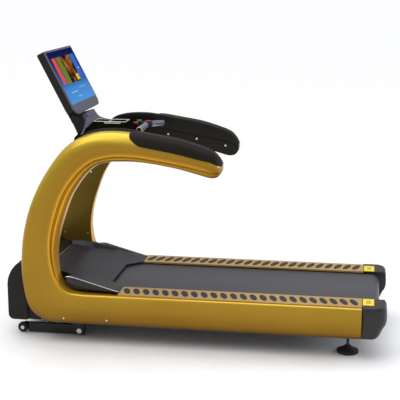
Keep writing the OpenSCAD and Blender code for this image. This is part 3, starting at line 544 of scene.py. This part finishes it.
def pad_ring(st, s):
    """Section of an arm pad; its skirt grows from the front end and narrows to the tip."""
    w = width(st)
    f = min(1, w / 110)
    k = math.sin(min(1, max(0.1, (s - PAD_FIRST) * 1.9)) * math.pi / 2)
    r = min(1, max(0.2, (s - PAD_FIRST) * 3))
    t = 1 + PAD_SWELL * r
    c = 12 * f
    d = max(c + 3, (12 + 46 * k) * f * (1 - 0.13 * max(0, s - 20)))
    m = c + 0.55 * (d - c)
    vc, vm, vd = bulge(st, c) + 4.2, bulge(st, m) + 3.2, bulge(st, d) + 2.8
    section = [(-1.6, 1), (-0.6 * t - 1.6, 0.4), (-t - 1.4, 3), (-1.8 - t, 8), (-2 - t, 28), (-2 - t, 46),
               (-1.2 - 0.85 * t, 62 + 0.1 * t),
               (0.5 * c - 0.75 * t, (62 + vc) / 2 + 0.4 * t), (c - 0.55 * t, vc + 0.65 * t),
               ((c + m) / 2 - 0.45 * t, (vc + vm) / 2 + 0.72 * t),
               (m - 0.35 * t, vm + 0.75 * t), ((m + d) / 2 - 0.2 * t, (vm + vd) / 2 + 0.78 * t),
               (d - 0.22 * t, vd + 0.76 * t),
               (d - 0.05 * t, vd + 0.6 * t), (d, vd), (m, vm), (c, vc), (-1.2, 62), (-2, 28)]
    return [place(st, u, v) for u, v in section]


def cover_ring(st, s):
    """Section of an arm's inner cover: a thick rounded upper part that steps back to a thin lower plate."""
    e = width(st) + st[4]
    top = -2 - COVER_RAISE * min(1, (s - COVER_FIRST) * 1.8)
    top += COVER_EASE * max(0, min(1, (s - 17.6) * 1.5)) + 4 * max(0, s - 23)
    c = min(80 * (1 - 0.17 * max(0, s - 20)), 0.66 * e)
    thick = 8 * max(0, min(1, (COVER_LAST - s) * 0.85))
    section = [(top, -0.3), (top - 1, -6), (top + 0.5, -11.5 - 0.4 * thick),
               (top + 4, -COVER_OUT - 0.8 * thick), (top + 12, -COVER_OUT - thick),
               (0.5 * (c + top), -12.3 - thick), (c - 9, -COVER_OUT - 0.95 * thick),
               (c - 3, -COVER_OUT - 0.75 * thick), (c, -12.2 - 0.1 * thick),
               (c + 3, -COVER_OUT), (c + 8, -11.8), (e - 8, -11.8), (e - 3, -10.6), (e - 1, -7.4),
               (e - 1, -0.3)]
    return [place(st, u, v) for u, v in section]


def stations(first, last, count, ease=False):
    """Evenly spaced places; ease packs them closer at the end."""
    out = []
    for i in range(count + 1):
        t = i / count
        if ease:
            t = 1 - (1 - t) ** 1.5
        out.append(first + (last - first) * t)
    return out


for side, near in (("left", True), ("right", False)):
    n_rings = (len(STATIONS) - 1) * SHELL_STEPS
    last_place = n_rings / SHELL_STEPS
    places = [0.0, 0.0008, 0.006] + [i / SHELL_STEPS for i in range(1, n_rings)] + [last_place - 0.07, last_place]
    rings = [shell_ring(station(i)) for i in places]
    shell = add_mesh("frame_shell_" + side, *loft(rings), "base", GOLD, "gold_shell", ["shell_" + side],
                     flip=near)
    subsurf(shell, 1)
    rings = [pad_ring(station(s), s) for s in stations(PAD_FIRST, PAD_LAST, PAD_STEPS, True)]
    pad = add_mesh("pad_" + side, *loft(rings), "base", SOFT, "black_soft", ["arm_pad_" + side], flip=near)
    subsurf(pad, 1)
    # Two raised seam lines along each pad; their pale colour is a painted highlight.
    for number, v in enumerate(SEAM_AT):
        line = []
        for s in stations(PAD_FIRST + 0.45, SEAM_LAST, 40):
            st = station(s)
            line.append([place(st, u, v + w) for u, w in ((-8.4, -0.6), (-9.3, -0.6), (-9.3, 0.6),
                                                          (-8.4, 0.6))])
        add_mesh(f"pad_seam_{side}_{number}", *loft(line), "base", PAD_SEAM_HIGHLIGHT, "black_soft", flip=near)
    rings = [cover_ring(station(s), s) for s in stations(COVER_FIRST, COVER_LAST, PAD_STEPS, True)]
    cover = add_mesh("cover_" + side, *loft(rings), "base", BLACK, "black_plastic", ["arm_cover_" + side],
                     flip=near)
    subsurf(cover, 1)

# ---------------------------------------------------------------- hood and front cover

HOOD_MID = [(-872, 388), (-780, 371), (-690, 345), (-590, 319), (-490, 300.5), (-402, 298.5)]
HOOD_EDGE = [(-872, 403), (-790, 404), (-712, 393), (-620, 366), (-505, 334), (-402, 305)]
BAND_OUT = [(-872, 332), (-730, 332), (-580, 384), (-402, 384)]
BAND_DROP = [(-872, 26), (-700, 34), (-600, 26), (-505, 14), (-402, 4)]
BAND_WIDE = 34
HOOD_SIDE = 334
HOOD_REAR = [(0, -490), (178, -490), (262, -402), (HOOD_SIDE, -402)]


def smooth_along(table, x):
    """Value of a table with its corners eased out."""
    reach = 26
    return sum(between(table, x + reach * k / 3) for k in range(-3, 4)) / 7


def hood_z(x, y):
    """Top of the hood: a flat middle that rises to a shoulder, then a raised band along each side."""
    low, high = smooth_along(HOOD_MID, x), smooth_along(HOOD_EDGE, x)
    outer = between(BAND_OUT, x)
    inner = outer - BAND_WIDE
    shoulder = max(low - 4, high - between(BAND_DROP, x))
    if abs(y) >= inner:
        t = min(1, (abs(y) - inner) / (BAND_WIDE - 5))
        return shoulder + (high - shoulder) * t * t * (3 - 2 * t)
    return low + (shoulder - low) * max(0, (abs(y) - 150) / (inner - 150)) ** 1.6


HOOD_YS = sorted({round(y * s, 2) for y in [0, 30, 60, 90, 120, 150, 178, 192, 206, 220, 234, 248, 262, 276,
                                            284, 290,
                                             296, 301, 306, 312, 320, 328, HOOD_SIDE] for s in (-1, 1)})
HOOD_STEPS = 44
rows = []
for y in HOOD_YS:
    x1 = between(HOOD_REAR, abs(y))
    rows.append([(-872 + (x1 + 872) * i / HOOD_STEPS, y, hood_z(-872 + (x1 + 872) * i / HOOD_STEPS, y))
                 for i in range(HOOD_STEPS + 1)])
hood = add_mesh("hood_cover", *loft(rows, closed=False, caps=False), "base", HOOD, "hood_grey", ["hood_top"])
shell_mod = hood.modifiers.new("thickness", "SOLIDIFY")
shell_mod.thickness = 0.004
shell_mod.offset = -1 if hood.data.polygons[0].normal.z > 0 else 1
bevel(hood, 1.2, 2, 50)

BAND_STEPS = 40
BAND_NOSE = 12
BAND_FIRST, TRIM_FIRST, BAND_LAST = -708, -712, -402.5
NOSE_STEPS = 8
for side, near in (("left", True), ("right", False)):
    rings = []
    for i in range(BAND_STEPS + 1):
        x = BAND_FIRST + (BAND_LAST - BAND_FIRST) * i / BAND_STEPS
        z_top = smooth_along(HOOD_EDGE, x) - 2.6 - BAND_NOSE * (1 - min(1, i / NOSE_STEPS)) ** 2
        low = max(300.6, between([(-708, 337), (-668, 309.5), (-402, 300.6)], x))
        z_top = max(z_top, low + 1.2)
        top = [(x, y, min(z_top, max(hood_z(x, y) - 0.4, low + 1.0))) for y in (HOOD_SIDE - 1, 341, 348,
                354, 360, 366, 372, 378)]
        z_in = top[0][2]
        rings.append(top + [(x, 384, z_top - 0.6),
                      (x, 386, max(low, z_top - 4)), (x, 386.5,
                                                      (low + z_top) / 2 if z_top - low > 6 else low),
                                                      (x, 386, low),
                      (x, 382, low), (x, 381.5, (low + z_top) / 2 - 1 if z_top - low > 6 else low),
                      (x, 376, max(low, z_top - 5)),
                      (x, 357, max(low, (z_in + z_top) / 2 - 3)),
                      (x, HOOD_SIDE - 1, max(low - 0.5, z_in - 4))])
    add_mesh("hood_band_" + side, *loft(rings), "base", HOOD, "hood_grey", flip=near)
    edge = []
    for i in range(BAND_STEPS + 1):
        x = TRIM_FIRST + (BAND_LAST - TRIM_FIRST) * i / BAND_STEPS
        z = smooth_along(HOOD_EDGE, x) - BAND_NOSE * (1 - min(1, i / NOSE_STEPS)) ** 2
        edge.append([(x, 380, z - 2.6), (x, 380.6, z - 0.4), (x, 383, z + 0.2), (x, 386, z - 0.4),
                     (x, 387, z - 2.4), (x, 385, z - 4)])
    add_mesh("hood_trim_" + side, *loft(edge), "base", TRIM, "bright_metal", flip=near)

seam = []
for i in range(61):
    y = -290 + 580 * i / 60
    z = hood_z(-868, y) + 0.3
    seam.append([(-871.5, y, z), (-871, y, z + 1.6), (-869, y, z + 2.1), (-867, y, z + 1.4),
                 (-866.5, y, z - 0.4)])
add_mesh("hood_seam", *loft(seam), "base", TRIM, "bright_metal", ["hood_trim"])

FRONT_SKIN = [(-875, 394), (-900, 400), (-930, 410), (-954, 426), (-975, 438), (-995, 437), (-1010, 428),
              (-1026, 411),
              (-1042, 390), (-1055, 364), (-1065, 335), (-1074, 304), (-1080, 270), (-1082, 240),
              (-1082, 209),
              (-1078, 172), (-1072, 138), (-1067, 120), (-1060, 108), (-1051, 100), (-1040, 97),
              (-1000, 97), (-960, 97),
              (-920, 97), (-880, 97), (-877, 200), (-876, 300)]
FRONT_ROUND = 52


def front_ring(y, shrink=0.0):
    """Section of the front cover, pulled in round its corners."""
    over = max(0, abs(y) - (SIDE_IN - 6 - FRONT_ROUND))
    pull = FRONT_ROUND - math.sqrt(max(0, FRONT_ROUND ** 2 - min(over, FRONT_ROUND) ** 2))
    ring = []
    for x, z in FRONT_SKIN:
        share = max(0, (-x - 876) / 206)
        ring.append((x + pull * share * 0.55 + shrink * (share - 0.5), y,
                     z + (shrink * 0.5 if z < 260 else -shrink * 0.5)))
    return ring


FRONT_YS = [0, 60, 120, 180, 230, 270, 290, 300, 308, 316, 322, 327, 331, 333.5, 334.5]
ys = sorted({y * s for y in FRONT_YS for s in (-1, 1)})
front = add_mesh("front_cover", *loft([front_ring(y, max(0, abs(y) - 330) * 1.2) for y in ys]), "base",
                 BLACK, "black_plastic", ["hood_front"])
bevel(front, 2.0, 3, 40)
for side, near in (("left", True), ("right", False)):
    cheek = [(max(x, -1068), z) for x, z in FRONT_SKIN if x < -950]
    cheek += [(-953, 100), (-953, 430)]
    piece = add_mesh("front_cheek_" + side, *slab(cheek, 334, 345.5), "base", BLACK, "black_plastic",
                     flip=near)
    bevel(piece, 5.0, 4, 40)
    add_mesh("cheek_plug_" + side, *lathe([(0.1, 0), (4.2, 0), (5.2, 0.8), (5.2, 1.6), (3.6, 1.8),
                                           (3.0, 0.6), (0.1, 0.6)],
                    (-1008, 344.4, 172), "y", 24), "base", STEEL_BLACK, "black_plastic", flip=near)

# ---------------------------------------------------------------- rail end caps

CAP_SKIN = [(946, 124), (985, 124), (1025, 124), (1034, 126.5), (1041, 131), (1047, 141), (1052, 152),
            (1058, 165), (1064, 178),
            (1073, 190), (1079, 204), (1081.5, 220), (1082, 240), (1081, 264), (1079, 284), (1076, 292),
            (1070, 298),
            (1062, 300), (1030, 300), (985, 300), (946, 300)]
CAP_IN, CAP_OUT, CAP_ROUND = 280, 441, 62


def cap_ring(y, inset=0.0):
    over = max(0, y - (CAP_OUT - CAP_ROUND))
    pull = CAP_ROUND - math.sqrt(max(0, CAP_ROUND ** 2 - min(over, CAP_ROUND - 1) ** 2))
    out = []
    for x, z in CAP_SKIN:
        share = max(0, (x - 960) / 122)
        drop = inset if z > 290 else (-inset if z < 135 else 0)
        out.append((x - pull * share - (inset if x > 1000 else 0), y, z - drop))
    return out


for side, near in (("left", True), ("right", False)):
    ys = [(CAP_IN, 3), (CAP_IN + 0.9, 1), (CAP_IN + 3, 0)] + [(y, 0) for y in (300, 330, 360, 379, 386, 393,
            400, 407, 414, 420, 426, 431)]
    ys += [(435, 0.6), (438, 2), (440, 4), (CAP_OUT, 7)]
    add_mesh("cap_" + side, *loft([cap_ring(y, inset) for y, inset in ys]), "base", CAP, "black_plastic",
             ["end_cap_" + side], flip=near)
    tongue = add_mesh("cap_tongue_" + side, *slab([(946.2, 290.4), (1068, 290.4), (1069.5, 292),
                                                   (1069.5, 298), (1067, 300), (946.2, 300)],
                      267.4, 281), "base", CAP, "black_plastic", flip=near)
    bevel(tongue, 1.5, 3)
    add_mesh("cap_adjuster_" + side, *lathe([(0.1, 0), (11, 0), (12.4, 1.0), (12.4, 2.2), (9.5, 2.4),
                                             (8.5, 0.9), (0.1, 0.9)],
                      (996, CAP_IN - 1.9, 240.5), "y", 36), "base", STEEL, "steel", flip=near)

# ---------------------------------------------------------------- display, neck and grips


def on_display(x, y, z):
    """Row point of a point in the display's own frame: x out of the face, z up the face."""
    c, s = math.cos(LEAN), math.sin(LEAN)
    return (FACE_X + x * c - z * s, y, FACE_Z + x * s + z * c)


NECK_TOP = [(113, -47), (117, -60), (130, -74), (158, -88), (200, -101), (250, -114), (296, -125),
            (300, -128)]
NECK_FOOT = [(0, -105.5), (110, -105.5), (200, -109), (300, -128)]
NECK_CREST = -29
NECK_NARROW = 113
NECK_HALF = 299
NECK_BULGE = 1.5
NECK_COLS = 120
NECK_BACK, NECK_FACE = -20.6, -6.0


def neck_span(half):
    """Lowest and highest z of the neck cover at a distance from the middle."""
    high = NECK_CREST if half <= NECK_NARROW else between(NECK_TOP, half)
    low = between(NECK_FOOT, half)
    return low, max(high, low + 0.6)


rings = []
for j in range(NECK_COLS + 1):
    y = -NECK_HALF + 2 * NECK_HALF * j / NECK_COLS
    low, high = neck_span(abs(y))
    lip = min(3.0, (high - low) / 3)
    swell = NECK_BULGE * math.cos(math.pi * min(1, abs(y) / 110) / 2)
    row = [(NECK_BACK, low), (NECK_FACE - 3, low), (NECK_FACE - 0.9, low + 0.4 * lip), (NECK_FACE, low + lip)]
    row += [(NECK_FACE - swell * math.sin(math.pi * k / 6),
             low + lip + (high - low - 2 * lip) * k / 6) for k in range(1, 6)]
    row += [(NECK_FACE, high - lip), (NECK_FACE - 0.9, high - 0.4 * lip), (NECK_FACE - 3, high),
            (NECK_BACK, high)]
    rings.append([on_display(x, y, z) for x, z in row])
neck = add_mesh("neck_skin", *loft(rings), "base", NECK, "neck_grey", ["neck_cover"])
bevel(neck, 0.6, 2, 50)

HINGE = [(-58, -19.6), (-50, -20.6), (-36, -22.6), (-20, -25.2), (-9, -27.0), (-8, -27.8), (-8, -30),
         (-58, -30)]
HINGE_YS = (-86, -84, -40, 0, 40, 84, 86)
hinge_rows = [[on_display(x - (1.5 if abs(y) > 84 else 0), y, z) for x, z in HINGE] for y in HINGE_YS]
hinge = add_mesh("neck_hinge_block", *loft(hinge_rows), "base", BLACK, "black_plastic")
bevel(hinge, 0.8, 2, 40)

GRIP_L = ((-311, -36, 1200), (-309, -226, 1200))
GRIP_R = ((-302.4, 40, 1196.3), (-261.5, 199.7, 1179.4))
ridges = [(0.0, 14.6), (0.008, 16.2), (0.02, 17.0)]
for i in range(1, 45):
    ridges.append((0.03 + 0.92 * i / 45, 17.0 if i % 2 else 16.75))
add_mesh("hand_grip_left", *rod(*GRIP_L, ridges + [(0.965, 17.0), (0.985, 16.8), (0.992, 15.2)]), "base",
         SILVER, "grip_silver", ["grip_left"])
# Outer end of the left grip, coloured cream as a painted reflection of the gold frame.
add_mesh("hand_grip_left_end", *rod(*GRIP_L, [(0.99, 13.0), (0.992, 15.4), (1.0, 16.0), (1.018, 16.0),
                                              (1.026, 15.2), (1.03, 13.2), (1.031, 0.1)]),
         "base", GRIP_END_REFLECTION, "grip_silver")
right_end = [(0.955, 17.0), (0.975, 16.4), (0.992, 14.6), (1.004, 11.6), (1.012, 7.5), (1.016, 3.2),
             (1.017, 0.1)]
add_mesh("hand_grip_right", *rod(*GRIP_R, ridges[:-1] + right_end), "base", SILVER, "grip_silver",
         ["grip_right"])

# ---------------------------------------------------------------- feet and wheels

FOOT_X, FOOT_Y = 875, 311
for side, near in (("left", True), ("right", False)):
    pad_profile = [(0.1, 0), (52, 0), (57, 1.0), (59.2, 3.0), (60, 6.0), (60, 14), (59.2, 17), (56.5, 18.4),
                   (48, 21.5), (36, 27),
                   (27, 33), (22, 37.5), (19.4, 40), (17.5, 41), (11, 41.4), (0.1, 41.4)]
    add_mesh("foot_pad_" + side, *lathe(pad_profile, (FOOT_X, FOOT_Y, 0), "z", 72), "foot_" + side, RUBBER,
             "black_rubber", ["foot_" + side], flip=near)
    stud = [(0.1, 38), (8.0, 38)]
    for i in range(48):
        z = 41.5 + i * 3.0
        stud += [(8.0, z), (7.0, z + 1.4)]
    stud += [(8.0, 187), (6.6, 190), (0.1, 190)]
    add_mesh("foot_stud_" + side, *lathe(stud, (FOOT_X, FOOT_Y, 0), "z", 32), "foot_" + side, STEEL_BLACK,
             "black_rubber", flip=near)
    tyre = [(8.1, 269), (10, 269), (11, 271), (20, 271.5), (22, 270), (26, 269.2), (28.6, 270.4), (30, 273),
            (30, 286), (28.6, 288.6),
            (26, 289.8), (22, 289), (20, 287.5), (11, 288), (10, 290), (8.1, 290)]
    add_mesh("tyre_" + side, *lathe(tyre, (-1005, 0, 30), "y", 56), "wheel_" + side, RUBBER, "black_rubber",
             ["wheel_" + side], flip=near)

# ---------------------------------------------------------------- CAD nodes that keep their shape

DRESS = [
    (STEEL_BLACK, 1.0, ["chassis", "upright_left", "upright_right", "incline_arm"]),
    (PANEL, 1.2, ["panel_left", "panel_right"]),
    (STEEL, 0.8, ["frame_screws", "arm_pins", "wheel_pins", "lift_rod", "lift_pin", "neck_screws",
                  "display_pin", "motor_rotor"]),
    (RAIL, 1.0, ["foot_rail_left", "foot_rail_right"]),
    (STUD, 0.7, ["rail_studs"]),
    (LABEL, 0.0, ["rail_labels"]),
    (WOOD, 1.5, ["deck"]),
    (RUBBER, 0.8, ["deck_cushions", "drive_belt"]),
    (BELT, 0.0, ["running_belt"]),
    (MOTOR, 1.0, ["front_roller", "rear_roller", "motor", "lift_body"]),
    (BOARD, 0.5, ["controller"]),
    (BLACK, 0.8, ["power_panel", "foot_nuts"]),
    (RED, 0.8, ["power_switch", "stop_button", "safety_key"]),
    (GREEN, 0.8, ["start_button"]),
    (GLOSS, 3.0, ["console"]),
    (TRIM, 1.0, ["tray_trim", "console_bars"]),
    (BLACK, 3.0, ["mast"]),
    (BLACK, 2.0, ["handlebar"]),
    (NECK, 1.5, ["neck_plate", "display_bezel"]),
    (BLACK, 4.0, ["display_housing"]),
    (SCREEN, 0.0, ["display_screen"]),
]
for material, radius, names in DRESS:
    for name in names:
        dress(name, material, radius, 3 if radius > 1.4 else 2)

# ---------------------------------------------------------------- floor

floor = bpy.data.meshes.new("floor")
FLOOR_HALF, FLOOR_CELLS = 90.0, 60
grid = [[(-FLOOR_HALF + 2 * FLOOR_HALF * i / FLOOR_CELLS, -FLOOR_HALF + 2 * FLOOR_HALF * j / FLOOR_CELLS, 0.0)
         for j in range(FLOOR_CELLS + 1)] for i in range(FLOOR_CELLS + 1)]
floor.from_pydata(*(lambda pf: (pf[0], [], pf[1]))(loft(grid, closed=False, caps=False)))
floor.materials.append(FLOOR)
floor_piece = bpy.data.objects.new("floor", floor)
scene.collection.objects.link(floor_piece)
